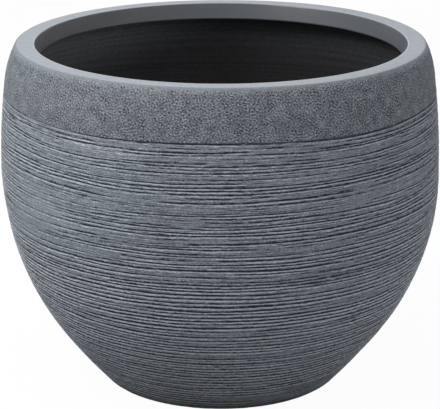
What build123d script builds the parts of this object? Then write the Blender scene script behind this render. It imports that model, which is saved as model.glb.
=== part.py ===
from build123d import *
import math
import os

# A round floor planter laid up by hand in fibreclay. Its wall is a face coat that takes the
# texture of the mould, a glass-fibre mat and a backing coat. A slab makes the floor, a smooth
# cast rim caps the wall and hides its thin edge, and a rubber plug closes the drain.
# Sizes are in millimetres. +Z is up, and the origin is the middle of the foot, on the floor.

# Outside form, from the floor up
pot_height = 395.0
foot_draw_in = 115.5         # from the belly in to where the flank would meet the floor
foot_rounding = 16.0
flank_height = 60.0          # the flank runs from the floor to here
belly_height = 250.0         # the widest ring
belly_radius = 250.0
lower_belly_arc = 310.0      # radius of the arc from the belly down to the flank
upper_belly_arc = 800.0      # radius of the arc from the belly up to the shoulder
shoulder_drop = 36.0         # the shoulder begins this far below the top
rim_draw_in = 19.0           # from the belly in to where the shoulder would meet the top

# Layers of the wall, from the outside in
face_thickness = 4.0
mat_thickness = 1.0
backing_thickness = 4.6
bond_line = 0.2              # between curved faces that are laid up against each other
gore_count = 8               # the flat mat is cut in gores, so that it lies on a round wall

# Foot and floor
foot_ring_width = 34.0
recess_depth = 5.0           # the underside is hollow inside the foot ring
recess_rounding = 2.0
face_floor_thickness = 5.0
slab_thickness = 14.0

# Rim
rim_width = 21.0             # from the rim's outer corner in to the mouth
rim_depth = 19.0             # height of the lip that shows inside the mouth
lip_draw_in = 5.0            # the lip leans inwards, down to its foot
lip_land = 4.0               # the upright stretch at the lip's foot, the narrowest place
cap_thickness = 7.0          # the part of the rim that lies on top of the wall
rim_outer_rounding = 3.0
rim_inner_rounding = 1.6
lip_rounding = 1.2
band_thickness = 3.0         # glass roving wound round the mouth, under the lip
band_cover = 2.5             # what the rim keeps above and below the band

# Drain
sleeve_bore = 12.5           # radius
sleeve_wall = 2.5
flange_width = 7.0
flange_thickness = 2.0
sleeve_lead_in = 1.0

# Plug
plug_clearance = 0.3         # between the shank and the sleeve, at the sealing lips
lip_relief = 0.5             # the shank is this much slimmer than its sealing lips
shank_length = 12.0
shank_taper = 0.8            # how much slimmer the shank's tip is
sealing_lip_height = 1.4
sealing_lip_count = 2
head_overlap = 5.5           # how far the head reaches past the bore
head_thickness = 4.0
head_rounding = 1.2
grip_width = 20.0
grip_thickness = 6.0
grip_height = 14.0
grip_corner = 6.0
grip_rib = 0.7               # the finger ribs stand this far out of the grip
grip_rib_width = 1.6
grip_rib_count = 3

# Heights and radii that follow from the sizes above
foot_radius = belly_radius - foot_draw_in
rim_radius = belly_radius - rim_draw_in
mouth_radius = rim_radius - rim_width
mat_inset = face_thickness + bond_line
backing_inset = mat_inset + mat_thickness + bond_line
wall_thickness = backing_inset + backing_thickness
lining_inset = wall_thickness + bond_line    # whatever is set against the inside of the wall
cap_height = pot_height - cap_thickness
lip_height = pot_height - rim_depth
lip_radius = mouth_radius - lip_draw_in
land_top = lip_height + lip_rounding + lip_land
shoulder_height = pot_height - shoulder_drop
face_floor = recess_depth + face_floor_thickness
mat_floor = face_floor + mat_thickness
slab_top = mat_floor + slab_thickness
recess_radius = foot_radius - foot_ring_width
sleeve_outside = sleeve_bore + sleeve_wall
sleeve_hole = sleeve_outside + bond_line
flange_radius = sleeve_outside + flange_width
flange_bed = slab_top - flange_thickness
head_radius = sleeve_bore + head_overlap
band_top = cap_height - band_cover
band_bottom = lip_height + band_cover


# Outline of the wall: arcs that follow each other without a kink. An arc is its centre's
# radius and height and its own radius, which is negative where the wall curves inwards.
# A lean is the angle by which the wall's outward side looks up.

def arc_from(point, lean, radius):
    """The arc of that radius through a point where the wall has that lean."""
    return (point[0] - radius * math.cos(lean), point[1] - radius * math.sin(lean), radius)


def arc_to(point, lean, end):
    """The arc that leaves a point at that lean and passes through the end."""
    across = end[0] - point[0]
    up = end[1] - point[1]
    inwards = -(across * math.cos(lean) + up * math.sin(lean))
    return arc_from(point, lean, (across ** 2 + up ** 2) / (2 * inwards))


def lean_at(arc, height, inset=0.0):
    """The lean of the wall at a height, moved in by inset."""
    return math.asin((height - arc[1]) / (arc[2] - inset))


def point_at(arc, lean, inset=0.0):
    """Radius and height of the wall where it has that lean, moved in by inset."""
    reach = arc[2] - inset
    return (arc[0] + reach * math.cos(lean), arc[1] + reach * math.sin(lean))


widest = (belly_radius, belly_height)
lower_belly = arc_from(widest, 0.0, lower_belly_arc)
flank_lean = lean_at(lower_belly, flank_height)
flank = arc_to(point_at(lower_belly, flank_lean), flank_lean, (foot_radius, 0.0))
upper_belly = arc_from(widest, 0.0, upper_belly_arc)
shoulder_lean = lean_at(upper_belly, shoulder_height)
shoulder = arc_to(point_at(upper_belly, shoulder_lean), shoulder_lean, (rim_radius, pot_height))
outline = [flank, lower_belly, upper_belly, shoulder]
outline_leans = [flank_lean, 0.0, shoulder_lean]


def wall_run(inset, start, end):
    """Edges along the wall, moved in by inset, from one height to another, up or down."""
    low, high = min(start, end), max(start, end)
    joins = [point_at(arc, lean, inset)[1] for arc, lean in zip(outline, outline_leans)]
    bottoms = [low] + joins
    tops = joins + [high]
    edges = []
    for arc, bottom, top in zip(outline, bottoms, tops):
        bottom, top = max(low, bottom), min(high, top)
        if top > bottom:
            leans = [lean_at(arc, height, inset) for height in (bottom, top)]
            leans.insert(1, sum(leans) / 2)
            points = [point_at(arc, lean, inset) for lean in leans]
            edges.append([(radius, 0.0, height) for radius, height in points])
    if end < start:
        edges = [points[::-1] for points in edges[::-1]]
    return [Edge.make_three_point_arc(*points) for points in edges]


def section(*parts):
    """A closed half section. Each part is a corner or a run of wall; straight lines join them."""
    ends, edges = [], []
    for part in parts:
        run = part if isinstance(part, list) else []
        first = run[0] @ 0 if run else Vector(part[0], 0.0, part[1])
        if ends and (first - ends[-1]).length > 1e-6:
            edges.append(Edge.make_line(ends[-1], first))
        edges.extend(run)
        ends.extend([first, run[-1] @ 1 if run else first])
    edges.append(Edge.make_line(ends[-1], ends[0]))
    return Face(Wire(edges))


def corner(face, radius, height):
    """The corner of a half section nearest to a point."""
    return face.vertices().sort_by_distance(Vector(radius, 0.0, height))[0]


def turned(face, angle=360.0):
    """The solid that a half section makes about the pot's axis."""
    return revolve(face, Axis.Z, angle)


# The pieces of the pot

def make_face_coat():
    """The outer coat: the whole outside of the pot under the rim, with its foot and underside."""
    face = section(
        (sleeve_hole, recess_depth),
        (recess_radius, recess_depth),
        (recess_radius, 0.0),
        wall_run(0.0, 0.0, cap_height),
        wall_run(face_thickness, cap_height, face_floor),
        (sleeve_hole, face_floor),
    )
    face = face.fillet_2d(foot_rounding, [corner(face, foot_radius, 0.0)])
    face = face.fillet_2d(recess_rounding, [corner(face, recess_radius, 0.0)])
    return turned(face)


def make_wall_mat():
    """The mat of glass fibre between the two coats, in gores that meet edge to edge."""
    face = section(
        wall_run(mat_inset, mat_floor, cap_height),
        wall_run(mat_inset + mat_thickness, cap_height, mat_floor),
    )
    gore = turned(face, 360.0 / gore_count)
    return [Rot(0, 0, 360.0 * index / gore_count) * gore for index in range(gore_count)]


def make_base_mat():
    """The disc of mat under the floor slab."""
    return turned(section(
        (sleeve_hole, face_floor),
        wall_run(mat_inset, face_floor, mat_floor),
        (sleeve_hole, mat_floor),
    ))


def make_backing_coat():
    """The inner coat, which shows inside the pot below the rim."""
    return turned(section(
        wall_run(backing_inset, mat_floor, cap_height),
        wall_run(wall_thickness, cap_height, mat_floor),
    ))


def make_floor_slab():
    """The thick floor, rebated for the drain sleeve's flange."""
    return turned(section(
        (sleeve_hole, mat_floor),
        wall_run(lining_inset, mat_floor, slab_top),
        (flange_radius + bond_line, slab_top),
        (flange_radius + bond_line, flange_bed),
        (sleeve_hole, flange_bed),
    ))


def make_rim_band():
    """Glass roving wound round the inside of the wall, just under the cap of the rim."""
    return turned(section(
        wall_run(lining_inset, band_bottom, band_top),
        wall_run(lining_inset + band_thickness, band_top, band_bottom),
    ))


def make_rim():
    """The smooth rim: a cap over the wall's edge and a lip that hangs down inside it."""
    face = section(
        (lip_radius, lip_height),
        wall_run(lining_inset, lip_height, band_bottom),
        wall_run(lining_inset + band_thickness + bond_line, band_bottom, band_top),
        wall_run(lining_inset, band_top, cap_height),
        wall_run(0.0, cap_height, pot_height),
        (mouth_radius, pot_height),
        (lip_radius, land_top),
    )
    face = face.fillet_2d(rim_outer_rounding, [corner(face, rim_radius, pot_height)])
    face = face.fillet_2d(rim_inner_rounding, [corner(face, mouth_radius, pot_height)])
    face = face.fillet_2d(lip_rounding, [corner(face, lip_radius, lip_height)])
    return turned(face)


def make_drain_sleeve():
    """The plastic sleeve that lines the drain, with a flange flush with the floor."""
    return turned(section(
        (sleeve_bore, recess_depth),
        (sleeve_outside, recess_depth),
        (sleeve_outside, flange_bed),
        (flange_radius, flange_bed),
        (flange_radius, slab_top),
        (sleeve_bore + sleeve_lead_in, slab_top),
        (sleeve_bore, slab_top - sleeve_lead_in),
    ))


def make_plug_shank(shank_radius):
    """The plug's tapered shank, with its sealing lips."""
    shank = turned(section(
        (0.0, slab_top - shank_length),
        (shank_radius - shank_taper, slab_top - shank_length),
        (shank_radius, slab_top),
        (0.0, slab_top),
    ))
    lip_spacing = shank_length / (sealing_lip_count + 1)
    for index in range(sealing_lip_count):
        lip_top = slab_top - lip_spacing * (index + 0.75)
        shank += turned(section(
            (0.0, lip_top - sealing_lip_height),
            (shank_radius - shank_taper, lip_top - sealing_lip_height),
            (sleeve_bore - plug_clearance, lip_top),
            (0.0, lip_top),
        ))
    return shank


def make_plug_grip():
    """The plug's flat finger grip, rooted in the head, with ribs across both of its sides."""
    root = slab_top + head_thickness / 2
    top = slab_top + head_thickness + grip_height
    height = top - root
    grip = Pos(0, 0, root + height / 2) * Box(grip_width, grip_thickness, height)
    grip = fillet(grip.edges().filter_by(Axis.Y).group_by(Axis.Z)[-1], grip_corner)
    rib_spacing = (grip_height - grip_corner) / grip_rib_count
    for index in range(grip_rib_count):
        rib_height = top - grip_corner - rib_spacing * index
        rib_depth = grip_thickness + 2 * grip_rib
        rib_length = grip_width - grip_corner
        grip += Pos(0, 0, rib_height) * Box(rib_length, rib_depth, grip_rib_width)
    return grip


def make_drain_plug():
    """The rubber plug: a shank in the sleeve, a head that seals on its flange, and a grip."""
    shank_radius = sleeve_bore - plug_clearance - lip_relief
    head = Pos(0, 0, slab_top + head_thickness / 2) * Cylinder(head_radius, head_thickness)
    head = fillet(head.edges().group_by(Axis.Z)[-1], head_rounding)
    return head + make_plug_shank(shank_radius) + make_plug_grip()


pieces = {
    "face_coat": make_face_coat(),
    "wall_mat": make_wall_mat(),
    "base_mat": make_base_mat(),
    "backing_coat": make_backing_coat(),
    "floor_slab": make_floor_slab(),
    "rim_band": make_rim_band(),
    "rim": make_rim(),
    "drain_sleeve": make_drain_sleeve(),
    "drain_plug": make_drain_plug(),
}

os.makedirs("parts", exist_ok=True)
for name, piece in pieces.items():
    solids = piece if isinstance(piece, list) else [piece]
    shape = Compound(children=[solid for part in solids for solid in part.solids()])
    export_step(shape, f"parts/{name}.step")
    print(name, len(shape.solids()), "solids", round(shape.volume / 1000), "cubic centimetres")
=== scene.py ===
# %% [markdown]
# # A combed fibreclay planter
#
# The pot is laid up by hand in a mould. Its outside is combed in level grooves while the clay is
# leather hard, a stippled band runs round it under the rim, and the rim itself is cast smooth.
# The shapes inside the wall come from the CAD model, which is loaded here as a fixed frame. This
# lesson gives the pot the surfaces that one sees and touches: grooves, stipple and ribs that are
# cut into the mesh itself, and clay finishes made of nodes. Sizes are in metres; a number in
# millimetres is written times MM.

# %% Load the frame
import math

import bpy
import numpy as np
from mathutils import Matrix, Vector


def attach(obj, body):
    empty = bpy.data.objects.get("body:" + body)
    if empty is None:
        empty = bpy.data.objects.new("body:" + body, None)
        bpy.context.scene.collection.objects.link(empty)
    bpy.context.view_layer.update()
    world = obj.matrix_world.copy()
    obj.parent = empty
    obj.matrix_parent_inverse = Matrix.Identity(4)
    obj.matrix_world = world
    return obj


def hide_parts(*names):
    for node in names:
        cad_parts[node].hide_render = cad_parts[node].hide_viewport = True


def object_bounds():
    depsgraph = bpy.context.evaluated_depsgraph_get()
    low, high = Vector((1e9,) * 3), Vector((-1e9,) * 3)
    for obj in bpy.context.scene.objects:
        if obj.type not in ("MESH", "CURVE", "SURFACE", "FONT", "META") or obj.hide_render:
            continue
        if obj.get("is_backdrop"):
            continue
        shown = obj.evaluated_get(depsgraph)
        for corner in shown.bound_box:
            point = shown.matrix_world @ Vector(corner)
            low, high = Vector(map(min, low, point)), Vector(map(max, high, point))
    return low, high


MM = 0.001
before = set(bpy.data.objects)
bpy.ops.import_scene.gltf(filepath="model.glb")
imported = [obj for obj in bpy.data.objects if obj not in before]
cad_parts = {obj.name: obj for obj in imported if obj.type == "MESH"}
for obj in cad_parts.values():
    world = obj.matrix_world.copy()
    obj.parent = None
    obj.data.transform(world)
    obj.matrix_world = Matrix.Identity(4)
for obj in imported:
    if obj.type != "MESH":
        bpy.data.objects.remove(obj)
cad_box = [list(corner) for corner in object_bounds()]
print("nodes of the frame:", sorted(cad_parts))
print("its box:", [[round(v, 4) for v in corner] for corner in cad_box])

# %% [markdown]
# ## Camera
#
# The pot was photographed from a little above its rim with a long lens, so its mouth is a narrow
# ellipse and its sides hardly converge. The camera stands 2.3 m from the middle of the pot, 17
# degrees above it, and the lens is long enough for the belly to touch both edges of the picture.
# A camera could be moved by eye until the outlines agree. Here its numbers come from the two
# ellipses of the rim, which fix its height and its distance, so every other size can be trusted.

# %% Place the camera
AIM_HEIGHT = 200.3 * MM
CAMERA_DISTANCE = 2300 * MM
CAMERA_RISE = math.radians(17.1)
PICTURE_WIDTH, PICTURE_HEIGHT = 440, 409
FOCAL_PIXELS = 1987.0
SENSOR = 36.0                        # millimetres across, as Blender gives it
AXIS_PIXEL = (221.0, 204.5)          # where the pot's axis and the aim stand in the picture

lens = bpy.data.cameras.new("camera")
lens.sensor_fit = "HORIZONTAL"
lens.sensor_width = SENSOR
lens.lens = FOCAL_PIXELS / PICTURE_WIDTH * SENSOR
lens.shift_x = (PICTURE_WIDTH / 2 - AXIS_PIXEL[0]) / PICTURE_WIDTH
lens.shift_y = (AXIS_PIXEL[1] - PICTURE_HEIGHT / 2) / PICTURE_WIDTH
lens.clip_end = 50                   # metres
camera = bpy.data.objects.new("camera", lens)
camera.location = (
    0,
    -CAMERA_DISTANCE * math.cos(CAMERA_RISE),
    AIM_HEIGHT + CAMERA_DISTANCE * math.sin(CAMERA_RISE),
)
camera.rotation_euler = (math.pi / 2 - CAMERA_RISE, 0, 0)
bpy.context.scene.collection.objects.link(camera)
bpy.context.scene.camera = camera
bpy.context.scene.view_settings.view_transform = "Standard"
print("lens", round(lens.lens, 1), "mm at", [round(v, 3) for v in camera.location])

# %% [markdown]
# ## Nodes, a few at a time
#
# Every finish below is a small tree of nodes. Two helpers keep the trees readable: one
# starts a finish with its Principled shader, and one adds a node, sets its values and plugs in
# whatever feeds it. The others each stand for one thing that a finish needs again and again:
# noise, a soft step, a mix of two colours, a bump.

# %% Helpers for node trees
def add_node(tree, kind, settings=None, **feeds):
    """Add a node. A feed is a number, a colour or another node's socket, by its input's name."""
    node = tree.nodes.new("ShaderNode" + kind)
    for name, value in (settings or {}).items():
        setattr(node, name, value)
    for name, value in feeds.items():
        key = name.replace("_", " ")
        socket = next(s for s in node.inputs if s.name == key and s.enabled)
        if isinstance(value, bpy.types.NodeSocket):
            tree.links.new(value, socket)
        else:
            socket.default_value = value
    return node


def new_finish(name, **values):
    """A material whose Principled shader has those fixed values."""
    finish = bpy.data.materials.new(name)
    finish.use_nodes = True
    shader = finish.node_tree.nodes["Principled BSDF"]
    for key, value in values.items():
        shader.inputs[key.replace("_", " ")].default_value = value
    return finish, finish.node_tree, shader


def place_in_pot(tree):
    """Coordinates in metres that stay with the pot."""
    return add_node(tree, "TexCoord").outputs["Object"]


def noise(tree, where, size, detail=2.0, rough=0.5):
    """Soft random values from 0 to 1 with blotches of about that size in metres."""
    return add_node(tree, "TexNoise", Vector=where, Scale=0.5 / size, Detail=detail,
                    Roughness=rough).outputs["Fac"]


def ramp(tree, value, low, high, to_low=0.0, to_high=1.0):
    """Stretch the values between low and high, with soft ends."""
    return add_node(tree, "MapRange", {"interpolation_type": "SMOOTHSTEP"}, Value=value,
                    From_Min=low, From_Max=high, To_Min=to_low, To_Max=to_high).outputs["Result"]


def tint(tree, share, first, second, blend="MIX"):
    """Mix two colours, each a colour or a socket."""
    mix = tree.nodes.new("ShaderNodeMix")
    mix.data_type, mix.blend_type = "RGBA", blend
    for index, value in ((0, share), (6, first), (7, second)):
        if isinstance(value, bpy.types.NodeSocket):
            tree.links.new(value, mix.inputs[index])
        else:
            mix.inputs[index].default_value = value
    return mix.outputs[2]


def bump(tree, height, depth, strength=1.0, under=None):
    """A normal for relief too fine for the mesh. Depth is in metres."""
    node = add_node(tree, "Bump", Height=height, Distance=depth, Strength=strength)
    if under:
        tree.links.new(under, node.inputs["Normal"])
    return node.outputs["Normal"]


# %% [markdown]
# ## Floor and light
#
# A pot like this is shown on white paper under one large soft light from the upper left, with
# plain light all round and a weak one low on the right, which keeps the shaded flank open. The
# floor is pale to the camera and darker to bounced light, so that the foot stays as dark as it
# looks in a studio where black boards lie round the stand. A brighter lamp could bleach the floor
# too, but it would bleach the pot with it, so the white is in the paper's own finish.

# %% Set the stage
FLOOR_SIZE = 14.0
FLOOR_DROP = 0.15 * MM               # under the last of the uneven clay of the foot
WHITE_SHARE = 0.96                   # how much of the paper's white is its own glow
PAPER_SHADES = (0.86, 0.86, 0.865, 1), (0.9, 0.9, 0.9, 1)
BOARD_SHADE = (0.40, 0.40, 0.405, 1)
paper = bpy.data.materials.new("paper")
paper.use_nodes = True
paper_tree = paper.node_tree
paper_tree.nodes.clear()


def seen_directly(tree):
    """1 for rays that show the background itself, 0 for rays that carry light."""
    path = add_node(tree, "LightPath")
    either = path.outputs["Is Camera Ray"]
    for other in ("Is Glossy Ray", "Is Transmission Ray"):
        node = add_node(tree, "Math", {"operation": "MAXIMUM"})
        tree.links.new(either, node.inputs[0])
        tree.links.new(path.outputs[other], node.inputs[1])
        either = node.outputs[0]
    return either


fibres = noise(paper_tree, place_in_pot(paper_tree), 0.02, 3.0)
pale = tint(paper_tree, fibres, *PAPER_SHADES)
lit = add_node(paper_tree, "BsdfDiffuse", Color=pale)
white = add_node(paper_tree, "Emission", Color=(1, 1, 1, 1), Strength=1.0)
boards = add_node(paper_tree, "BsdfDiffuse", Color=BOARD_SHADE)
glowing = add_node(paper_tree, "MixShader", Fac=WHITE_SHARE)
paper_tree.links.new(lit.outputs[0], glowing.inputs[1])
paper_tree.links.new(white.outputs[0], glowing.inputs[2])
chosen = add_node(paper_tree, "MixShader", Fac=seen_directly(paper_tree))
paper_tree.links.new(boards.outputs[0], chosen.inputs[1])
paper_tree.links.new(glowing.outputs[0], chosen.inputs[2])
add_node(paper_tree, "OutputMaterial", Surface=chosen.outputs[0])

bpy.ops.mesh.primitive_plane_add(size=FLOOR_SIZE)
floor = bpy.context.object
floor.name = "studio_floor"
floor.location.z = -FLOOR_DROP
floor.data.materials.append(paper)
floor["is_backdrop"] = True
print("floor", FLOOR_SIZE, "m wide,", FLOOR_DROP / MM, "mm under the foot")

# %% Hang the lights
AROUND = 0.57                        # strength of the light from all round
KEY_PLACE, KEY_SIZE, KEY_POWER = (-1.33, -0.67, 1.95), 1.5, 45.5
FILL_PLACE, FILL_SIZE, FILL_POWER = (2.0, -1.1, 0.35), 1.2, 6.5
KEY_AIM, FILL_AIM = (0, 0, 0.2), (0, 0, 0.15)
sky = bpy.data.worlds.new("studio")
bpy.context.scene.world = sky
sky.use_nodes = True
sky_tree = sky.node_tree
sky_tree.nodes.clear()
glow = add_node(sky_tree, "MapRange", Value=seen_directly(sky_tree), To_Min=AROUND, To_Max=1.0)
dome = add_node(sky_tree, "Background", Color=(1, 1, 1, 1), Strength=glow.outputs["Result"])
add_node(sky_tree, "OutputWorld", Surface=dome.outputs[0])


def hang_light(name, place, size, power, aim):
    """A square soft light that points at the pot."""
    lamp = bpy.data.lights.new(name, "AREA")
    lamp.size = size
    lamp.energy = power
    hung = bpy.data.objects.new(name, lamp)
    hung.location = place
    reach = hung.location - type(hung.location)(aim)
    hung.rotation_euler = reach.to_track_quat("Z", "Y").to_euler()
    bpy.context.scene.collection.objects.link(hung)
    return hung


key = hang_light("key_light", KEY_PLACE, KEY_SIZE, KEY_POWER, KEY_AIM)
fill = hang_light("fill_light", FILL_PLACE, FILL_SIZE, FILL_POWER, FILL_AIM)
print("lights:", key.name, fill.name, "and a dome of", AROUND)

# %% [markdown]
# ## The outline of the wall
#
# The wall is one run of arcs that follow each other without a kink: a nearly straight flank, a
# round lower belly, a long upper belly and a tight shoulder. They are the arcs that the CAD
# model is turned from, so a new surface lies exactly on the old one. A curve drawn by eye would
# stray from it by a millimetre or two, which is as deep as the grooves. Each point of the wall
# keeps the direction that faces outwards, because grooves and stipple are pressed in along it.

# %% Draw the outline
POT_HEIGHT = 395 * MM
FOOT_DRAW_IN, FOOT_ROUNDING = 115.5 * MM, 16 * MM    # the foot, in from the belly; its lower edge
FLANK_HEIGHT = 60 * MM
BELLY_HEIGHT, BELLY_RADIUS = 250 * MM, 250 * MM
LOWER_BELLY_ARC, UPPER_BELLY_ARC = 310 * MM, 800 * MM
SHOULDER_DROP, RIM_DRAW_IN = 36 * MM, 19 * MM        # down from the top; in from the belly


def arc_from(point, lean, radius):
    """The arc of that radius through a point where the wall has that lean."""
    return (point[0] - radius * math.cos(lean), point[1] - radius * math.sin(lean), radius)


def arc_to(point, lean, end):
    """The arc that leaves a point at that lean and passes through the end."""
    across, up = end[0] - point[0], end[1] - point[1]
    inwards = -(across * math.cos(lean) + up * math.sin(lean))
    return arc_from(point, lean, (across ** 2 + up ** 2) / (2 * inwards))


def on_arc(arc, lean, inset=0.0):
    """Radius and height of an arc where the wall has that lean."""
    return (arc[0] + (arc[2] - inset) * np.cos(lean), arc[1] + (arc[2] - inset) * np.sin(lean))


widest = (BELLY_RADIUS, BELLY_HEIGHT)
lower_belly = arc_from(widest, 0, LOWER_BELLY_ARC)
flank_lean = math.asin((FLANK_HEIGHT - BELLY_HEIGHT) / LOWER_BELLY_ARC)
foot_end = (BELLY_RADIUS - FOOT_DRAW_IN, 0)
flank = arc_to(on_arc(lower_belly, flank_lean), flank_lean, foot_end)
upper_belly = arc_from(widest, 0, UPPER_BELLY_ARC)
shoulder_lean = math.asin((POT_HEIGHT - SHOULDER_DROP - BELLY_HEIGHT) / UPPER_BELLY_ARC)
rim_end = (BELLY_RADIUS - RIM_DRAW_IN, POT_HEIGHT)
shoulder = arc_to(on_arc(upper_belly, shoulder_lean), shoulder_lean, rim_end)
wall_arcs = (flank, lower_belly, upper_belly, shoulder)
wall_joins = (flank_lean, 0.0, shoulder_lean)


def wall_at(heights, inset=0.0):
    """Rows of radius, height and outward direction, on the wall moved in by inset."""
    heights = np.atleast_1d(np.asarray(heights, float))
    ends = [on_arc(arc, lean, inset)[1] for arc, lean in zip(wall_arcs, wall_joins)]
    which = np.searchsorted(ends, heights)
    centre, level, radius = (np.array([arc[i] for arc in wall_arcs])[which] for i in range(3))
    lean = np.arcsin((heights - level) / (radius - inset))
    return np.stack([centre + (radius - inset) * np.cos(lean), heights,
                     np.cos(lean), np.sin(lean)], axis=1)


FINE_STEPS = 4000                    # enough to measure the wall's length to a hundredth of a millimetre


def even_heights(start, end, step, inset=0.0):
    """Heights that lie evenly along the wall, at most that step apart."""
    fine = np.linspace(start, end, FINE_STEPS)
    rows = wall_at(fine, inset)
    length = np.r_[0, np.cumsum(np.hypot(*np.diff(rows[:, :2], axis=0).T))]
    return np.interp(np.linspace(0, length[-1], math.ceil(length[-1] / step) + 1), length, fine)


belly_reach, rim_reach = wall_at([BELLY_HEIGHT, POT_HEIGHT])[:, 0]
print("radius at the belly", round(belly_reach, 4), "m, at the rim", round(rim_reach, 4), "m")

# %% [markdown]
# ## Turning a section into a skin
#
# A section is a closed row of points, like the edge of a template that a potter holds against
# the turning clay. Turning it makes a ring of quads for each pair of points. Blender's Screw
# modifier turns a curve in the same way, but the points are wanted as a grid, because the relief
# is a grid too: it has one value for each point and each column, and pushes the skin in or out.
# The map for later baking is the same grid unrolled, which wastes no room on a dense mesh.

# %% Turn sections
def corner_arc(centre, radius, start, end, steps):
    """Rows on a rounded edge, from one direction to another in degrees."""
    turn = np.radians(np.linspace(start, end, steps))
    return np.stack([centre[0] + radius * np.cos(turn), centre[1] + radius * np.sin(turn),
                     np.cos(turn), np.sin(turn)], axis=1)


def straight(start, end, steps, facing):
    """Rows on a straight stretch that faces one way, both ends included."""
    share = np.linspace(0, 1, steps)[:, None]
    points = np.asarray(start) * (1 - share) + np.asarray(end) * share
    return np.hstack([points, np.tile(facing, (steps, 1))])


def turn_skin(name, rows, columns, relief=None, slide=None, creases=(), marks=None):
    """Turn a closed section about the pot's axis. Its outside is on the left of the path.

    Relief moves a point along its outward direction and slide moves it up the wall, in metres.
    A crease is a row with a sharp edge. Marks are values that the finishes read by name.
    """
    rows = np.asarray(rows)
    count = len(rows)
    relief = np.zeros((count, columns)) if relief is None else relief
    slide = np.zeros((count, columns)) if slide is None else slide
    out_way, up_way = rows[:, 2, None], rows[:, 3, None]
    side = np.sign(out_way)
    turn = np.arange(columns) * 2 * np.pi / columns
    out = rows[:, 0, None] + out_way * relief - side * up_way * slide
    up = rows[:, 1, None] + up_way * relief + side * out_way * slide
    points = np.stack([out * np.sin(turn), -out * np.cos(turn), up], axis=-1).reshape(-1, 3)
    row, column = np.meshgrid(np.arange(count), np.arange(columns), indexing="ij")
    below, right = (row + 1) % count, (column + 1) % columns
    quads = np.stack([row * columns + column, below * columns + column,
                      below * columns + right, row * columns + right], axis=-1).reshape(-1, 4)
    mesh = bpy.data.meshes.new(name)
    mesh.vertices.add(len(points))
    mesh.vertices.foreach_set("co", points.astype(np.float32).ravel())
    mesh.loops.add(quads.size)
    mesh.loops.foreach_set("vertex_index", quads.astype(np.int32).ravel())
    mesh.polygons.add(len(quads))
    mesh.polygons.foreach_set("loop_start", np.arange(0, quads.size, 4, dtype=np.int32))
    mesh.update(calc_edges=True)
    mesh.shade_smooth()
    if len(creases):
        ends = np.empty(len(mesh.edges) * 2, np.int32)
        mesh.edges.foreach_get("vertices", ends)
        ends = ends.reshape(-1, 2) // columns
        sharp = (ends[:, 0] == ends[:, 1]) & np.isin(ends[:, 0], creases)
        mesh.attributes.new("sharp_edge", "BOOLEAN", "EDGE").data.foreach_set("value", sharp)
    along = np.hypot(*np.diff(np.vstack([rows, rows[:1]])[:, :2], axis=0).T)
    along = np.r_[0, np.cumsum(along)] / along.sum()
    across = np.stack([column, column, column + 1, column + 1], axis=-1) / columns
    down = np.stack([along[row], along[row + 1], along[row + 1], along[row]], axis=-1)
    unrolled = mesh.uv_layers.new(name="OFBake")
    corners = np.stack([across, 1 - down], axis=-1)
    unrolled.data.foreach_set("uv", corners.astype(np.float32).ravel())
    for mark, values in (marks or {}).items():
        layer = mesh.attributes.new(mark, "FLOAT", "POINT")
        layer.data.foreach_set("value", values.astype(np.float32).ravel())
    skin = bpy.data.objects.new(name, mesh)
    bpy.context.scene.collection.objects.link(skin)
    print(name, count, "rows of", columns, "quads")
    return skin


# %% [markdown]
# ## Randomness with a grain
#
# Hand work is uneven in a soft way. Blurring plain noise gives soft unevenness, and the width
# of the blur sets its grain. The blur is done on the noise's waves, which makes it meet itself
# without a seam round the pot. Each field has its own fixed seed, so the pot is the same pot
# every time.

# %% Make soft randomness
def unevenness(shape, grain, seed):
    """Soft random values about zero, with a spread of one. Grain is the blur in rows, columns."""
    plain = np.random.default_rng(seed).standard_normal(shape)
    waves = [np.fft.fftfreq(shape[0])[:, None] * grain[0],
             np.fft.rfftfreq(shape[1])[None, :] * grain[1]]
    keep = np.exp(-2 * np.pi ** 2 * (waves[0] ** 2 + waves[1] ** 2))
    soft = np.fft.irfft2(np.fft.rfft2(plain) * keep, s=shape)
    return soft / soft.std()


sample = unevenness((60, 60), (3, 3), 0)
print("a sample of soft randomness: spread", round(float(sample.std()), 2),
      "highest", round(float(sample.max()), 2))


def ease(values, low, high):
    """0 below low, 1 above high, and a soft step between."""
    share = np.clip((values - low) / (high - low), 0, 1)
    return share * share * (3 - 2 * share)


def hand_wobble(heights, columns):
    """How far the wall strays from a true circle, in metres, the same for all its skins."""
    angle = np.arange(columns) * 2 * np.pi / columns
    lobes = 0.5 * np.cos(2 * angle + 1.1) + 0.35 * np.cos(3 * angle - 0.4)
    lobes += 0.15 * np.cos(5 * angle)
    heights = np.asarray(heights)[:, None]
    # The flank bulges a little to the right and the belly to the left. The foot stays true.
    free = ease(heights, 0.0, 120 * MM)
    lean = ease(heights, 20 * MM, 110 * MM) - 2.1 * ease(heights, 190 * MM, 270 * MM)
    lean += 1.1 * ease(heights, 350 * MM, POT_HEIGHT)
    return (0.7 * free * lobes + 0.9 * lean * np.sin(angle)) * MM


# %% [markdown]
# ## The combed side
#
# While the pot turns slowly, the potter drags a worn wire comb round it. Each wire leaves a
# narrow groove, steep above and sloping below, with a low burr at its foot. The wires skip,
# press harder and fade, so no groove goes evenly all the way round, and here and there the comb
# hardly touches. A bump map of stretched noise would be quicker, but its lines have no start, no
# burr and no shadow at the edge of the pot. So the grooves are cut stroke by stroke, as the
# potter cuts them: each wire has a track with its own height, waver and pressure, and cuts its
# profile into the grid wherever it presses.
#
# Places on the side are measured down along the wall, from the band's foot.

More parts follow.
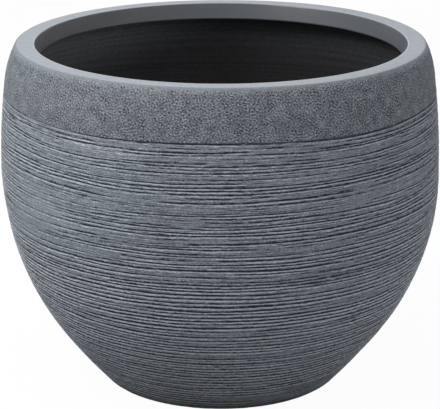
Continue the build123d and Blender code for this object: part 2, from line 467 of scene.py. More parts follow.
# %% Lay out the section of the face coat
BAND_FOOT = 339.0 * MM               # where the stippled band ends and the combing begins
COAT = 4 * MM                        # thickness of the face coat
COMB_COLUMNS, COMB_STEP = 1280, 0.52 * MM
SLEEVE_HOLE = 15.2 * MM              # radius of the hole for the drain
RECESS_RADIUS, RECESS_DEPTH = 100.5 * MM, 5 * MM     # the hollow in the underside
RECESS_ROUNDING, COAT_FLOOR = 2 * MM, 10 * MM
UNDERSIDE_ROWS = 42                  # rows past the side that keep the roughness of the clay

foot_row = wall_at(FOOT_ROUNDING, FOOT_ROUNDING)[0]
foot_turn = math.degrees(math.asin(foot_row[3]))
ring_inner = RECESS_RADIUS + RECESS_ROUNDING
side_heights = even_heights(BAND_FOOT, FOOT_ROUNDING + FOOT_ROUNDING * foot_row[3], COMB_STEP)
side_rows = wall_at(side_heights)
inside = wall_at(np.linspace(COAT_FLOOR, BAND_FOOT, 14), COAT)
coat_rows = np.vstack([
    side_rows,
    corner_arc((foot_row[0], FOOT_ROUNDING), FOOT_ROUNDING, foot_turn, -90, 12)[1:],
    straight((foot_row[0], 0), (ring_inner, 0), 6, (0, -1))[1:],
    corner_arc((ring_inner, RECESS_ROUNDING), RECESS_ROUNDING, -90, -180, 5)[1:],
    straight((RECESS_RADIUS, RECESS_ROUNDING), (RECESS_RADIUS, RECESS_DEPTH), 3, (-1, 0))[1:],
    straight((RECESS_RADIUS, RECESS_DEPTH), (SLEEVE_HOLE, RECESS_DEPTH), 24, (0, -1))[1:],
    straight((SLEEVE_HOLE, RECESS_DEPTH), (SLEEVE_HOLE, COAT_FLOOR), 3, (-1, 0))[1:],
    straight((SLEEVE_HOLE, COAT_FLOOR), (inside[0, 0], COAT_FLOOR), 5, (0, 1))[1:],
    np.hstack([inside[:, :2], -inside[:, 2:]])[1:],
])
print("face coat section:", len(side_rows), "rows on the side,", len(coat_rows), "in all")


def edge_wander(columns):
    """How far the comb's topmost stroke, and the band's foot with it, strays up and down."""
    turn = np.arange(columns) * 2 * np.pi / columns
    return (1.1 * np.cos(5 * turn) - 0.3 * np.sin(turn)) * MM


def joint_depth(columns):
    """Depth in millimetres of the groove between the band and the combing, deepest at the front."""
    turn = np.arange(columns) * 2 * np.pi / columns
    return 0.34 + 0.26 * np.cos(turn - 0.5) + 0.08 * np.cos(4 * turn + 1)


# %% Lay the comb's tracks
FIRST_TRACK, LAST_GAP = 1.6 * MM, 2 * MM
SPACED_AT = [0, 130, 220, 330]       # places on the side, in millimetres
SPACING = [3.3, 3.9, 4.8, 5.8]       # millimetres to the next track at those places
LOOSE, STEADY = 0.34, 0.24           # how far the spacing strays, as a share of itself

SIDE_LENGTH = np.r_[0, np.cumsum(np.hypot(*np.diff(side_rows[:, :2], axis=0).T))]
shape = (len(side_rows), COMB_COLUMNS)
chance = np.random.default_rng(41)
tracks, place = [], FIRST_TRACK
while place < SIDE_LENGTH[-1] - LAST_GAP:
    tracks.append(place)
    spread = np.interp(place / MM, SPACED_AT, SPACING) * MM
    jitter = np.interp(place, [90 * MM, 180 * MM], [LOOSE, STEADY])
    place += spread * (1 + chance.uniform(-jitter, jitter))
tracks = np.array(tracks)
count = len(tracks)
print(count, "tracks on", round(SIDE_LENGTH[-1], 3), "m of wall")

# %% Let each wire waver
column_width = 2 * math.pi * BELLY_RADIUS / COMB_COLUMNS


def along_tracks(blur_mm, seed, neighbours=0.0):
    """One soft random line for each track, round the pot."""
    return unevenness((count, COMB_COLUMNS), (neighbours, blur_mm * MM / column_width), seed)


steady = ease(tracks, 100 * MM, 190 * MM)[:, None]       # the comb was held more steadily low down
waver = 0.75 * along_tracks(80, 1, 6) + (0.38 - 0.1 * steady) * along_tracks(28, 2, 1.2)
waver += 0.14 * along_tracks(9, 3) + 0.06 * along_tracks(3, 12)
print("a track strays by up to", round(float(np.abs(waver).max()), 1), "mm")

# %% Press the wires
# More than half of the wires are sharp and cut long deep grooves. The others skip.
sharp_share = np.where(np.arange(count) % 2, 0.30, 0.85)
sharp_wire = chance.random((count, 1)) < sharp_share[:, None]
bold = np.maximum(sharp_wire, steady)
runs = 0.55 * along_tracks(70, 6) + (0.72 - 0.22 * steady) * along_tracks(22, 9) + 0.45
runs += (0.26 - 0.14 * steady) * along_tracks(7, 10)
skips = 0.62 * along_tracks(40, 4, 0.3) + 0.50 * along_tracks(12, 5)
skips += 0.25 * along_tracks(4.5, 8)
skips -= 0.15
press = ease(skips * (1 - bold) + runs * bold, -1.2, 1.1)
weak = chance.uniform(0.45, 0.80, (count, 1))
strong = chance.uniform(0.75, 1.1, (count, 1))
print("the wires touch", round(float((press > 0.1).mean()) * 100), "% of their way")

# %% Set how deep and how wide each groove is
DEEPEST = 0.78                       # millimetres of cut, however hard a wire is pressed
HARD_PRESS = 0.85                    # a press of this much gives three quarters of that cut
FACTORS_AT = [0, 110, 210, 330]      # places on the side, in millimetres
DEPTH_FACTORS = [0.92, 1.15, 1.75, 1.6]
WIDTH_FACTORS = [1.0, 1.1, 1.35, 1.65]

turn = np.arange(COMB_COLUMNS) * 2 * np.pi / COMB_COLUMNS
crumble = along_tracks(1.4, 7)       # sand that breaks out of the edges
# The hand leans harder on one side of the pot, and low down on the other one too. There the grooves are
# cut deeper, which is real relief, and their dark clay is darker, which is painted shade on the side
# that the key light grazes.
grip_and_painted_shade = 1.14 + 0.28 * np.sin(turn - 0.2) + 0.22 * steady * (1 - np.sin(turn + 0.4))
depth = press * (weak * (1 - bold) + strong * bold) * grip_and_painted_shade * (1 + 0.20 * crumble)
depth *= np.interp(tracks / MM, FACTORS_AT, DEPTH_FACTORS)[:, None]
pressed = DEEPEST * np.tanh(depth / HARD_PRESS)
width = chance.uniform(0.8, 1.2, (count, 1)) * (1 + 0.10 * crumble)
width *= np.interp(tracks / MM, FACTORS_AT, WIDTH_FACTORS)[:, None]
print("grooves from", round(float(width.min()), 2), "to", round(float(width.max()), 2),
      "times as wide as a plain wire's")

# %% Cut the grooves
STEEP, GENTLE = 0.55, 1.5            # millimetres from the groove's bottom up to its two edges
CUT_SHARE, CUT_CURVE = 1.1, 1.1      # depth for a press of 1, and how hollow the slopes are
BURR, BURR_AT, BURR_WIDTH = 0.20, 1.95, 0.6          # height for a press of 1, place, half width
REACH = np.arange(-6, 12)            # the rows that one wire can touch

combed = np.zeros(shape)
groove_shade_and_highlight = np.zeros(shape)              # where dark clay shows in a groove, darkened further as painted shade, with a painted highlight below it
columns = np.arange(COMB_COLUMNS)[:, None]
for track in range(count):
    middle = tracks[track] + waver[track] * MM
    start = np.searchsorted(SIDE_LENGTH, middle)[:, None] + REACH[None, :]
    rows = np.clip(start, 0, shape[0] - 1)
    away = (SIDE_LENGTH[rows] - middle[:, None]) / MM / width[track][:, None]
    steep = np.clip(1 + away / STEEP, 0, 1)
    gentle = np.clip(1 - away / GENTLE, 0, 1)
    cut = -np.where(away < 0, steep, gentle) ** CUT_CURVE * CUT_SHARE
    burr = BURR * np.exp(-((away - BURR_AT) / BURR_WIDTH) ** 2)
    wanted = (cut + burr) * pressed[track][:, None]
    old = combed[rows, columns]
    added = old + wanted * (old > -0.1)
    combed[rows, columns] = np.where(wanted < 0, np.minimum(old, wanted), added)
    # The groove's bottom keeps the dark clay, darkened further as painted shade. The slope below it,
    # which faces up to the light, gets a painted highlight.
    dark = 1.6 * np.exp(-((away + 0.05) / 0.62) ** 2)
    dark -= 0.60 * np.exp(-((away - 1.40) / 0.55) ** 2)
    groove_shade_and_highlight[rows, columns] += dark * depth[track][:, None]
print("deepest groove", round(float(-combed.min()), 2), "mm")

# %% [markdown]
# ## Wear on the combed side
#
# Between the big grooves the comb's dust leaves fine scratches, and sand grains roll out of the
# clay. Here and there the comb was lifted and the wall is nearly smooth, and towards the foot
# the grooves fade, because the potter's hand turns away there. One noise cannot do all this: a
# scratch is long and thin, a crumb is round, and both have one size. So each gets its own
# field, made of a fine blur less a coarser blur of the same noise.

# %% Scratch and crumble the clay
def one_size(shape, finer, coarser, seed):
    """Blotches of nearly one size: a fine blur of noise less a coarser blur of the same noise."""
    both = unevenness(shape, finer, seed) - 0.8 * unevenness(shape, coarser, seed)
    return both / both.std()


scratch = one_size(shape, (0.62, 3.6), (1.15, 5), 16)
long_scratch = one_size(shape, (0.82, 18), (1.5, 24), 17)
crumbs = one_size(shape, (0.8, 0.55), (1.6, 1.1), 11)
high = ease(side_heights, 190 * MM, 300 * MM)[:, None]
fine_lines = 0.6 * scratch + 0.8 * long_scratch
fine_cuts = (0.16 + 0.06 * high) * np.minimum(fine_lines, 0.9) + 0.14 * crumbs
print("fine relief from", round(float(fine_cuts.min()), 2), "to", round(float(fine_cuts.max()), 2), "mm")

# %% Lift the comb here and there
# Each smooth spot: direction in degrees, height, half breadth in degrees, half height.
# Heights are in millimetres.
SMOOTH_SPOTS = (
    (-50, 248, 12, 24),
    (-60, 215, 9, 20),
    (20, 300, 10, 9),
    (130, 230, 14, 26),
)
swell = unevenness(shape, (14, 12), 13)
patches = unevenness(shape, (42, 22), 14)
touch = 0.75 + 0.25 * ease(patches, -1.9, -0.1)
smooth_spots = np.zeros(shape)
for azimuth, level, breadth, tallness in SMOOTH_SPOTS:
    across = (turn - math.radians(azimuth) + np.pi) % (2 * np.pi) - np.pi
    above = side_heights[:, None] / MM - level
    spot = np.exp(-(across / math.radians(breadth)) ** 2 - (above / tallness) ** 2)
    touch *= 1 - 0.6 * spot
    smooth_spots += spot
fade = ease(side_heights, 4 * MM, 34 * MM)[:, None]
worn = touch * (0.15 + 0.85 * fade)
print("the comb touches with", round(float(touch.min()), 2), "to", round(float(touch.max()), 2))

# %% Put the side together
EDGE_GROOVE = 1.1 * MM               # height of the groove under the stippled band
side_relief = (combed + fine_cuts) * worn + 0.04 * swell
first_groove = ease(side_heights, BAND_FOOT - EDGE_GROOVE, BAND_FOOT)[:, None]
side_relief = side_relief * (1 - first_groove) - joint_depth(COMB_COLUMNS) * first_groove
# Fine scratches keep a little dark clay too, darkened further as painted shade, and the lines between
# them get a painted highlight.
fine_shade_and_highlight = (0.50 + 0.14 * high) * ease(-fine_lines, 0.2, 1.9) - 0.30 * ease(fine_lines, 0.3, 2.0)
# Raised crumbs are painted paler too, as painted highlights.
hollow = (groove_shade_and_highlight + fine_shade_and_highlight - 0.12 * crumbs) * worn * (1 - first_groove) - 0.11 * smooth_spots
hollow = np.clip(hollow + 1.4 * joint_depth(COMB_COLUMNS) * first_groove, -0.5, 1.2)
lowest, highest = float(side_relief.min()), float(side_relief.max())
print("side relief from", round(lowest, 2), "to", round(highest, 2), "mm")

# %% Turn the combed side
relief = np.zeros((len(coat_rows), COMB_COLUMNS))
marks = np.zeros_like(relief)
relief[:len(side_rows)] = side_relief * MM
marks[:len(side_rows)] = hollow
# Painted shade: the foot's lower edge, where it turns under, is darkened, most of all beside the ground,
# as a painted contact shadow.
marks += 0.66 * (1 - ease(coat_rows[:, 1], 1 * MM, 16 * MM)[:, None])
marks += 0.60 * (1 - ease(coat_rows[:, 1], 0.5 * MM, 3 * MM)[:, None])
underside = slice(len(side_rows), len(side_rows) + UNDERSIDE_ROWS)
relief[underside] += 0.06 * MM * unevenness((UNDERSIDE_ROWS, COMB_COLUMNS), (2, 6), 15)
relief[:len(side_rows)] += hand_wobble(side_heights, COMB_COLUMNS)
joint = ease(coat_rows[:, 1], BAND_FOOT - 70 * MM, BAND_FOOT)[:, None] * edge_wander(COMB_COLUMNS)
combed_side = turn_skin("combed_side", coat_rows, COMB_COLUMNS, relief, joint,
                        (0, len(coat_rows) - 1), {"hollow": marks})

# %% [markdown]
# ## The stippled band
#
# Under the rim the clay is dabbed with a stiff brush instead of combed, which leaves short
# curled pits two or three millimetres long. The dabbing runs on over the side of the cast rim,
# so the joint between the coat and the rim doesn't show, and one field of pits is shared by
# both. Particles or a displacement texture could make pits too, but pits of one size come more
# simply from the same field as the crumbs. The band needs a closer mesh than the combing,
# because a pit is small in every direction while a groove is small in only one.

# %% Dab the band
BAND_TOP = 388 * MM                  # where the coat ends and the side of the cast rim begins
RIM_EDGE = 3 * MM                    # rounding of the rim's outer edge
BAND_COLUMNS, BAND_STEP = 1800, 0.68 * MM
FULL_DARK = 0.62                     # a pit this deep, in millimetres, keeps all its dark clay and painted shade
edge_row = wall_at(POT_HEIGHT - RIM_EDGE, RIM_EDGE)[0]
edge_turn = math.degrees(math.asin(edge_row[3]))
edge_foot = edge_row[1] + RIM_EDGE * edge_row[3]
rim_side_heights = even_heights(edge_foot, BAND_TOP, BAND_STEP)
band_heights = even_heights(BAND_TOP, BAND_FOOT, BAND_STEP)
dabbed_heights = np.r_[rim_side_heights, band_heights[1:]]
dabbed_shape = (len(dabbed_heights), BAND_COLUMNS)
dab = one_size(dabbed_shape, (0.85, 0.75), (1.5, 1.3), 21)
blob = one_size(dabbed_shape, (1.5, 1.5), (3.0, 3.0), 22)
pitted = 0.20 * dab + 0.03 * blob - 0.08 * ease(dab + 0.4 * blob, 0.6, 2.0)
pitted *= 1 + 0.22 * np.cos(np.arange(BAND_COLUMNS) * 2 * np.pi / BAND_COLUMNS - 0.4)
edge_fade = 1.4 + 0.6 * unevenness((1, BAND_COLUMNS), (0, 40), 26)
from_edge = (edge_foot - dabbed_heights)[:, None] / MM
soft_top = ease(from_edge / np.clip(edge_fade, 0.6, 3), 0.0, 1.0)
soft_foot = ease(dabbed_heights - BAND_FOOT, 0.0, 0.8 * MM)[:, None]
dabbed = pitted * soft_top * soft_foot - joint_depth(BAND_COLUMNS) * (1 - soft_foot)
# Deep pits are darkened, as dark clay and painted shade, and raised dabs get a painted highlight.
dabbed_hollow = np.clip(-dabbed / FULL_DARK, -0.5, 1.2)
print("stipple from", round(float(dabbed.min()), 2), "to", round(float(dabbed.max()), 2), "mm")
dabbed = dabbed * MM + hand_wobble(dabbed_heights, BAND_COLUMNS)

# %% Turn the band
on_rim = len(rim_side_heights)
band_face = wall_at(band_heights)
band_back = wall_at(np.linspace(BAND_FOOT, BAND_TOP, 5), COAT)
band_rows = np.vstack([band_face, np.hstack([band_back[:, :2], -band_back[:, 2:]])])
relief = np.zeros((len(band_rows), BAND_COLUMNS))
relief[:len(band_face)] = dabbed[on_rim - 1:]
marks = np.zeros_like(relief)
marks[:len(band_face)] = dabbed_hollow[on_rim - 1:]
joint = ease(BAND_TOP - band_rows[:, 1], 0, BAND_TOP - BAND_FOOT)[:, None]
joint = joint * edge_wander(BAND_COLUMNS)
stippled_band = turn_skin("stippled_band", band_rows, BAND_COLUMNS, relief, joint,
                          (0, len(band_face) - 1, len(band_face), len(band_rows) - 1),
                          {"hollow": marks, "dabbed": np.ones_like(marks)})

# %% [markdown]
# ## The rim
#
# The rim is cast against polished steel, so its top and the lip that hangs inside are smooth,
# and only its edges are eased where they came out of the mould. It could be a torus with a
# bevel, but its side has to follow the wall's shoulder and its lip leans inwards, so it is a
# turned section as well. Hands and pots rub along the inner edge, which polishes it: the mark
# called rubbed is 1 there and fades over the top.

# %% Cast the rim
MOUTH_RADIUS, LIP_RADIUS, LIP_FOOT = 210 * MM, 205 * MM, 376 * MM
WALL, LINING = 10 * MM, 10.2 * MM    # how far in the wall's inner face is; what lies against it
INNER_ROUNDING, LIP_ROUNDING = 1.6 * MM, 1.2 * MM
lip_low = LIP_FOOT + LIP_ROUNDING
lip_lean = math.atan2(MOUTH_RADIUS - LIP_RADIUS, POT_HEIGHT - lip_low)
lip_facing = (-math.cos(lip_lean), math.sin(lip_lean))
top_inner = MOUTH_RADIUS + INNER_ROUNDING * (1 - math.sin(lip_lean)) / math.cos(lip_lean)
arris = (top_inner, POT_HEIGHT - INNER_ROUNDING)
lip_start = tuple(arris[i] + INNER_ROUNDING * lip_facing[i] for i in (0, 1))
behind = wall_at(np.linspace(LIP_FOOT, BAND_TOP, 4), LINING)
rim_rows = np.vstack([
    wall_at(rim_side_heights[::-1]),
    corner_arc((edge_row[0], edge_row[1]), RIM_EDGE, edge_turn, 90, 8)[1:],
    straight((edge_row[0], POT_HEIGHT), (top_inner, POT_HEIGHT), 16, (0, 1))[1:],
    corner_arc(arris, INNER_ROUNDING, 90, 180 - math.degrees(lip_lean), 8)[1:],
    straight(lip_start, (LIP_RADIUS, lip_low), 16, lip_facing)[1:],
    corner_arc((LIP_RADIUS + LIP_ROUNDING, lip_low), LIP_ROUNDING, 180, 270, 6)[1:],
    straight((LIP_RADIUS + LIP_ROUNDING, LIP_FOOT), (behind[0, 0], LIP_FOOT), 5, (0, -1))[1:],
    behind[1:],
])[::-1]
print("the lip leans inwards by", round(math.degrees(lip_lean), 1), "degrees")

# %% Mark what is rubbed and what is washed
rim_shape = (len(rim_rows), BAND_COLUMNS)
rim_waves = 0.035 * unevenness(rim_shape, (3, 18), 31)
rim_relief = (rim_waves + 0.004 * unevenness(rim_shape, (0.8, 1.6), 32)) * MM
rim_relief[-on_rim:] = dabbed[:on_rim]
outside = (rim_rows[:, 0] > top_inner) & (rim_rows[:, 1] > edge_foot)
wander = hand_wobble(rim_rows[:, 1], BAND_COLUMNS) * ease(rim_rows[:, 0], 0.222, 0.231)[:, None]
rim_relief += np.where(outside[:, None], wander, 0)
rim_hollow = np.zeros(rim_shape)
rim_hollow[-on_rim:] = dabbed_hollow[:on_rim]
to_arris = np.hypot(rim_rows[:, 0] - MOUTH_RADIUS, rim_rows[:, 1] - POT_HEIGHT)
rubbed = np.repeat(ease(-to_arris, -2.2 * MM, -0.6 * MM)[:, None], BAND_COLUMNS, axis=1)
facing_inward = np.repeat(ease(-rim_rows[:, 2], 0.45, 0.90)[:, None], BAND_COLUMNS, axis=1)
on_outside = 0.66 * ease(rim_rows[:, 2], 0.0, 0.42)
on_outside += 0.34 * ease(POT_HEIGHT - rim_rows[:, 1], 1.5 * MM, 8 * MM)
on_outside = np.where(rim_rows[:, 0] > top_inner, on_outside, 0)
washed_side = np.repeat(on_outside[:, None], BAND_COLUMNS, axis=1)
rim_marks = {"hollow": rim_hollow, "rubbed": rubbed, "facing_inward": facing_inward, "dabbed": washed_side}
rim = turn_skin("cast_rim", rim_rows, BAND_COLUMNS, rim_relief, None, (0, len(rim_rows) - 1),
                rim_marks)

# %% [markdown]
# ## The inside
#
# The backing coat is pressed in by hand with a wet trowel, round and round, which leaves faint
# level ribs. It is darker than the outside because it never gets the pale wash. The ribs are a
# wave whose phase drifts, so they are even enough for a tool's mark and never quite repeat. The
# floor is a slab of the same clay, floated flat round the drain, with only a soft swell left.

# %% Trowel the backing coat
BACK_COLUMNS, BACK_STEP = 420, 1.3 * MM
MAT_FLOOR = 11 * MM                  # the top of the mat in the base, where the inner coat stands
BACKING_INSET = 5.4 * MM             # how far in the inner coat's outer face is
RIB_SPACING, RIB_HEIGHT, SWEEP_HEIGHT = 6.5 * MM, 0.16, 0.20
inner_heights = even_heights(MAT_FLOOR, BAND_TOP, BACK_STEP, WALL)
inner_face = wall_at(inner_heights, WALL)
outer_face = wall_at(np.linspace(BAND_TOP, MAT_FLOOR, 12), BACKING_INSET)
back_rows = np.vstack([
    np.hstack([inner_face[:, :2], -inner_face[:, 2:]]),
    outer_face,
])
back_shape = (len(inner_face), BACK_COLUMNS)
sweeps = 0.5 * unevenness(back_shape, (2.0, 26), 51) + 0.35 * unevenness(back_shape, (1.2, 9), 52)
drift = 1.1 * unevenness(back_shape, (16, 40), 53)
ribs = np.sin(2 * np.pi * (inner_heights[:, None] / RIB_SPACING + drift))
trowelled = RIB_HEIGHT * ribs + SWEEP_HEIGHT * sweeps
relief = np.zeros((len(back_rows), BACK_COLUMNS))
tucked = ease(LIP_FOOT + 2 * MM - inner_heights, 0, 6 * MM)[:, None]
relief[:len(inner_face)] = (trowelled - 0.1) * MM * tucked
marks = np.zeros_like(relief)
# The mark is highest in the troughs of the ribs, which the inner finish darkens as painted shade.
marks[:len(inner_face)] = np.clip(-trowelled / 0.5, -1, 1) * 0.5 + 0.5
print("ribs", RIB_SPACING / MM, "mm apart, from", round(float(trowelled.min()), 2), "to",
      round(float(trowelled.max()), 2), "mm")
backing = turn_skin("trowelled_backing", back_rows, BACK_COLUMNS, relief, marks={"hollow": marks})

# %% Float the floor
SLAB_TOP, SLAB_COLUMNS, TOP_ROWS = 25 * MM, 240, 90
FLANGE_HOLE, FLANGE_BED = 22.2 * MM, 23 * MM         # the step that the drain's flange lies in
slab_side = wall_at(np.linspace(MAT_FLOOR, SLAB_TOP, 4), LINING)
slab_rows = np.vstack([
    straight((FLANGE_HOLE, SLAB_TOP), (slab_side[-1, 0], SLAB_TOP), TOP_ROWS, (0, 1)),
    slab_side[::-1][1:],
    straight((slab_side[0, 0], MAT_FLOOR), (SLEEVE_HOLE, MAT_FLOOR), 4, (0, -1))[1:],
    straight((SLEEVE_HOLE, MAT_FLOOR), (SLEEVE_HOLE, FLANGE_BED), 3, (-1, 0))[1:],
    straight((SLEEVE_HOLE, FLANGE_BED), (FLANGE_HOLE, FLANGE_BED), 3, (0, 1))[1:],
])
slab_shape = (TOP_ROWS, SLAB_COLUMNS)
relief = np.zeros((len(slab_rows), SLAB_COLUMNS))
floated = 0.10 * unevenness(slab_shape, (2, 22), 61) + 0.12 * unevenness(slab_shape, (7, 9), 62)
inner_edge = ease(slab_rows[:TOP_ROWS, 0], FLANGE_HOLE, FLANGE_HOLE + 6 * MM)[:, None]
relief[:TOP_ROWS] = (floated * inner_edge - 0.15 * inner_edge) * MM
slab = turn_skin("floated_floor", slab_rows, SLAB_COLUMNS, relief)

# %% [markdown]
# ## Clay finishes
#
# The clay is dark grey. Outside it gets a thin pale wash that is wiped back, so it stays on the high
# parts and wears to blue-grey, while the grooves and pits keep the dark clay. The grooves and pits are
# darkened further as painted shade, the crests and the slopes under the grooves get painted highlights,
# and the wash darkens towards the foot as painted shade. Blender can find hollows by itself, with
# ambient occlusion or with a vertex's pointiness, but neither knows how hard a wire was pressed. So the
# mark called hollow, which every combed or dabbed point carries from the cutting, drives the colour.

# %% Mix the washed clay
def mark_value(tree, name):
    """The value that a skin carries under that name."""
    return add_node(tree, "Attribute", {"attribute_name": name}).outputs["Fac"]


DARK_CLAY = (0.021, 0.024, 0.029, 1)
COMBED_WASH = (0.186, 0.207, 0.236, 1), (0.196, 0.219, 0.250, 1)
DABBED_WASH = (0.134, 0.148, 0.168, 1)
PAINTED_HIGHLIGHT_GAIN = (2.15, 2.10, 2.02, 1)   # painted highlight: how much paler the crests and the slopes below the grooves are
FOOT_PAINTED_SHADE, PAINTED_SHADE_TOP = 0.66, 0.155  # painted shade: the wash is darkened below this height, in metres, where the belly turns under
CLOUD, SAND_GRAIN = 60 * MM, 1.4 * MM


def washed_colour(tree, where):
    """The pale wash on dark clay: worn through in the hollows, which are darkened further as painted
    shade, with painted highlights on the crests and painted shade towards the foot.
    """
    hollow = mark_value(tree, "hollow")
    clouds = ramp(tree, noise(tree, where, CLOUD, 3.0), 0.3, 0.7)
    combed_wash = tint(tree, clouds, *COMBED_WASH)
    wash = tint(tree, mark_value(tree, "dabbed"), combed_wash, DABBED_WASH)
    # Painted highlight on the crests and on the slopes below the grooves.
    crest_highlight = ramp(tree, hollow, -0.45, 0.0, 0.8, 0.0)
    highlighted = tint(tree, crest_highlight, wash, tint(tree, 1.0, wash, PAINTED_HIGHLIGHT_GAIN, "MULTIPLY"))
    # The hollows show the dark clay, darkened further as painted shade.
    worn = tint(tree, ramp(tree, hollow, 0.05, 0.78), highlighted, DARK_CLAY)
    sand = add_node(tree, "MapRange", Value=noise(tree, where, SAND_GRAIN, 2.0), From_Min=0.25,
                    From_Max=0.75, To_Min=0.72, To_Max=1.26)
    sandy = tint(tree, 1.0, worn, sand.outputs["Result"], "MULTIPLY")
    # Painted shade: the wash darkens towards the bottom, where the belly turns under towards the floor.
    level = add_node(tree, "SeparateXYZ", Vector=where).outputs["Z"]
    return tint(tree, 1.0, sandy, ramp(tree, level, 0.0, PAINTED_SHADE_TOP, FOOT_PAINTED_SHADE, 1.0), "MULTIPLY")


washed, tree, shader = new_finish("washed_clay", Specular_IOR_Level=0.22)
where = place_in_pot(tree)
tree.links.new(washed_colour(tree, where), shader.inputs["Base Color"])
dry = ramp(tree, noise(tree, where, 0.003, 2.0), 0.3, 0.7, 0.80, 0.93)
tree.links.new(dry, shader.inputs["Roughness"])
fine = bump(tree, noise(tree, where, 0.0007, 3.0, 0.6), 0.25 * MM, 0.6)
tree.links.new(fine, shader.inputs["Normal"])
print(washed.name, "has", len(tree.nodes), "nodes")

# %% [markdown]
# ## The rim's finish
#
# The cast clay of the rim is paler and closer than the rest, and satin where the mould left it.
# Two finishes on two lots of faces would meet in a hard line at the rim's outer edge, where the
# real wash is wiped away softly. So one finish holds both, and the marks on the rim's points say
# how much of each there is.

# %% Mix the rim's smooth clay
RIM_CLAY = (0.262, 0.288, 0.325, 1), (0.280, 0.308, 0.346, 1)
INWARD_RIM_TONE = (0.066, 0.073, 0.083, 1)              # darker, on the faces that turn inwards: the inner face of the lip
POLISHED, DABBED_ROUGH = (0.16, 0.16, 0.16, 1), (0.86, 0.86, 0.86, 1)
smooth, tree, shader = new_finish("rubbed_rim", Specular_IOR_Level=0.5)
where = place_in_pot(tree)
rubbed_mark, dabbed_mark = mark_value(tree, "rubbed"), mark_value(tree, "dabbed")
clouds = ramp(tree, noise(tree, where, 0.05, 3.0), 0.3, 0.7)
body = tint(tree, clouds, *RIM_CLAY)
sand = ramp(tree, noise(tree, where, 0.0012, 2.0), 0.3, 0.7, 0.94, 1.05)
body = tint(tree, 1.0, body, sand, "MULTIPLY")
body = tint(tree, mark_value(tree, "facing_inward"), body, INWARD_RIM_TONE)
both = tint(tree, ramp(tree, dabbed_mark, 0.1, 0.9), body, washed_colour(tree, where))
tree.links.new(both, shader.inputs["Base Color"])
satin = ramp(tree, noise(tree, where, 0.004, 2.0), 0.3, 0.7, 0.42, 0.55)
polished = tint(tree, rubbed_mark, satin, POLISHED)
rough = tint(tree, dabbed_mark, polished, DABBED_ROUGH)
tree.links.new(rough, shader.inputs["Roughness"])
pores = bump(tree, noise(tree, where, 0.0015, 2.0), 0.05 * MM, 0.5)
tree.links.new(pores, shader.inputs["Normal"])
print(smooth.name, "has", len(tree.nodes), "nodes")

# %% [markdown]
# ## The finish of the inside
#
# Inside, the clay is bare and nearly black. Just under the lip it is painted paler, as painted light
# that lifts the shade there. On the left it is painted paler, as painted light, and on the right darker,
# as painted shade. A lamp on that side alone could show that too, but it would also light the outside,
# so the light is painted into the clay's own colour.

# %% Mix the dark inner clay
BARE_CLAY = (0.036, 0.037, 0.039, 1), (0.042, 0.043, 0.046, 1)
UNDER_LIP_PAINTED_LIGHT = (0.105, 0.109, 0.116, 1)                 # painted light: paler clay just under the lip, where the lip's shade falls
LEFT_PAINTED_LIGHT, RIGHT_PAINTED_SHADE = (2.4, 2.4, 2.46, 1), (0.66, 0.66, 0.67, 1)        # painted light on the left and painted shade on the right, as gains
RIB_PAINTED_SHADE = (0.45, 0.45, 0.46, 1)
inner_clay, tree, shader = new_finish("trowelled_clay", Specular_IOR_Level=0.15, Sheen_Weight=0.25,
                                      Sheen_Roughness=0.4)
where = place_in_pot(tree)
clouds = ramp(tree, noise(tree, where, 0.06, 3.0), 0.3, 0.7)
bare = tint(tree, clouds, *BARE_CLAY)
under_lip_lift = ramp(tree, add_node(tree, "SeparateXYZ", Vector=where).outputs["Z"], 0.31, 0.38)
body = tint(tree, under_lip_lift, bare, UNDER_LIP_PAINTED_LIGHT)
to_right = ramp(tree, add_node(tree, "SeparateXYZ", Vector=where).outputs["X"], -0.21, 0.02)
body = tint(tree, 1.0, body, tint(tree, to_right, LEFT_PAINTED_LIGHT, RIGHT_PAINTED_SHADE), "MULTIPLY")
# Painted shade: the troughs of the ribs are darkened.
rib_shade = ramp(tree, mark_value(tree, "hollow"), 0.1, 0.95, 0.0, 0.45)
ribbed = tint(tree, rib_shade, body, tint(tree, 1.0, body, RIB_PAINTED_SHADE, "MULTIPLY"))
sand = ramp(tree, noise(tree, where, 0.0015, 2.0), 0.3, 0.7, 0.85, 1.15)
tree.links.new(tint(tree, 1.0, ribbed, sand, "MULTIPLY"), shader.inputs["Base Color"])
tree.links.new(ramp(tree, clouds, 0, 1, 0.85, 0.95), shader.inputs["Roughness"])
tree.links.new(bump(tree, noise(tree, where, 0.0012, 3.0), 0.2 * MM, 0.5), shader.inputs["Normal"])
print(inner_clay.name, "has", len(tree.nodes), "nodes")

# %% [markdown]
# ## The hidden mat and the drain
#
# The glass mat and the roving lie inside the wall and show only if the pot is taken apart. The
# sleeve is moulded plastic with a faint haze, and the plug is rubber with a grey bloom. Their
# shapes are right in the CAD model, so they keep its meshes, and only their finishes are new.

# %% Mix the glass mat
GLASS = (0.50, 0.49, 0.40, 1), (0.72, 0.71, 0.62, 1)
mat_finish, tree, shader = new_finish("chopped_glass_mat", Specular_IOR_Level=0.5)
where = place_in_pot(tree)
stretched = add_node(tree, "Mapping", Vector=where, Scale=(1, 1, 9)).outputs[0]
strands = noise(tree, stretched, 0.012, 4.0, 0.7)
glassy = tint(tree, ramp(tree, strands, 0.35, 0.65), *GLASS)
tree.links.new(glassy, shader.inputs["Base Color"])
tree.links.new(ramp(tree, strands, 0.3, 0.7, 0.35, 0.6), shader.inputs["Roughness"])
tree.links.new(bump(tree, strands, 0.3 * MM, 0.6), shader.inputs["Normal"])
print(mat_finish.name, "has", len(tree.nodes), "nodes")

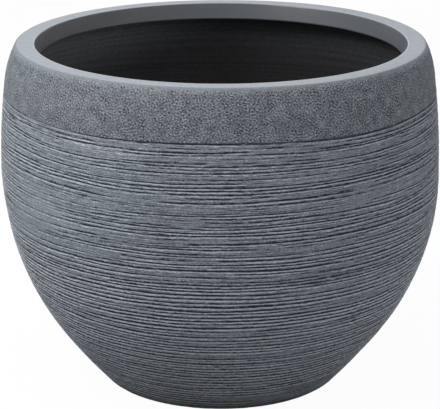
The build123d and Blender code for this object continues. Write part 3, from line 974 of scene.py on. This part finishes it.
# %% Mix the sleeve's plastic and the plug's rubber
PLASTIC = (0.016, 0.016, 0.018, 1), (0.026, 0.026, 0.028, 1)
RUBBER = (0.014, 0.014, 0.015, 1), (0.034, 0.034, 0.036, 1)
plastic, tree, shader = new_finish("sleeve_plastic", Specular_IOR_Level=0.45)
where = place_in_pot(tree)
haze = ramp(tree, noise(tree, where, 0.006, 3.0), 0.3, 0.7)
tree.links.new(tint(tree, haze, *PLASTIC), shader.inputs["Base Color"])
tree.links.new(ramp(tree, haze, 0, 1, 0.38, 0.55), shader.inputs["Roughness"])
tree.links.new(bump(tree, noise(tree, where, 0.0006, 2.0), 0.04 * MM, 0.4), shader.inputs["Normal"])

rubber, tree, shader = new_finish("plug_rubber", Specular_IOR_Level=0.3)
where = place_in_pot(tree)
bloom = ramp(tree, noise(tree, where, 0.005, 4.0), 0.35, 0.75)
tree.links.new(tint(tree, bloom, *RUBBER), shader.inputs["Base Color"])
tree.links.new(ramp(tree, bloom, 0, 1, 0.55, 0.8), shader.inputs["Roughness"])
tree.links.new(bump(tree, noise(tree, where, 0.0005, 2.0), 0.05 * MM, 0.5), shader.inputs["Normal"])
print(plastic.name, "and", rubber.name, "are mixed")

# %% [markdown]
# ## Dress the pot
#
# Each new skin takes its finish, rides on the pot and stands for the CAD piece that it was
# turned from. The band and the combed side stand for the same piece, the face coat, because
# they are one coat of clay. Moving the CAD pieces would break the fit between the sleeve and the
# plug, so those that stay only get a finish.


# %% Dress every piece
def dress(piece, finish):
    """Give a piece its one finish."""
    piece.data.materials.clear()
    piece.data.materials.append(finish)


for piece, finish, slot, node in (
    (combed_side, washed, "face_coat", "face_coat"),
    (stippled_band, washed, "face_coat", "face_coat"),
    (rim, smooth, "rim", "rim"),
    (backing, inner_clay, "backing_coat", "backing_coat"),
    (slab, inner_clay, "floor_slab", "floor_slab"),
):
    dress(piece, finish)
    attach(piece, "pot")
    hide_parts(node)
    print(piece.name, "stands for", node)

for node, finish in (("wall_mat", mat_finish), ("base_mat", mat_finish), ("rim_band", mat_finish),
                     ("drain_sleeve", plastic), ("drain_plug", rubber)):
    dress(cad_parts[node], finish)
    print(node, "keeps its CAD mesh, in", finish.name)

# %% Measure and finish
visual_box = [list(corner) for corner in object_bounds()]
for name, box in (("CAD box", cad_box), ("dressed box", visual_box)):
    print(name, [[round(v, 4) for v in corner] for corner in box])
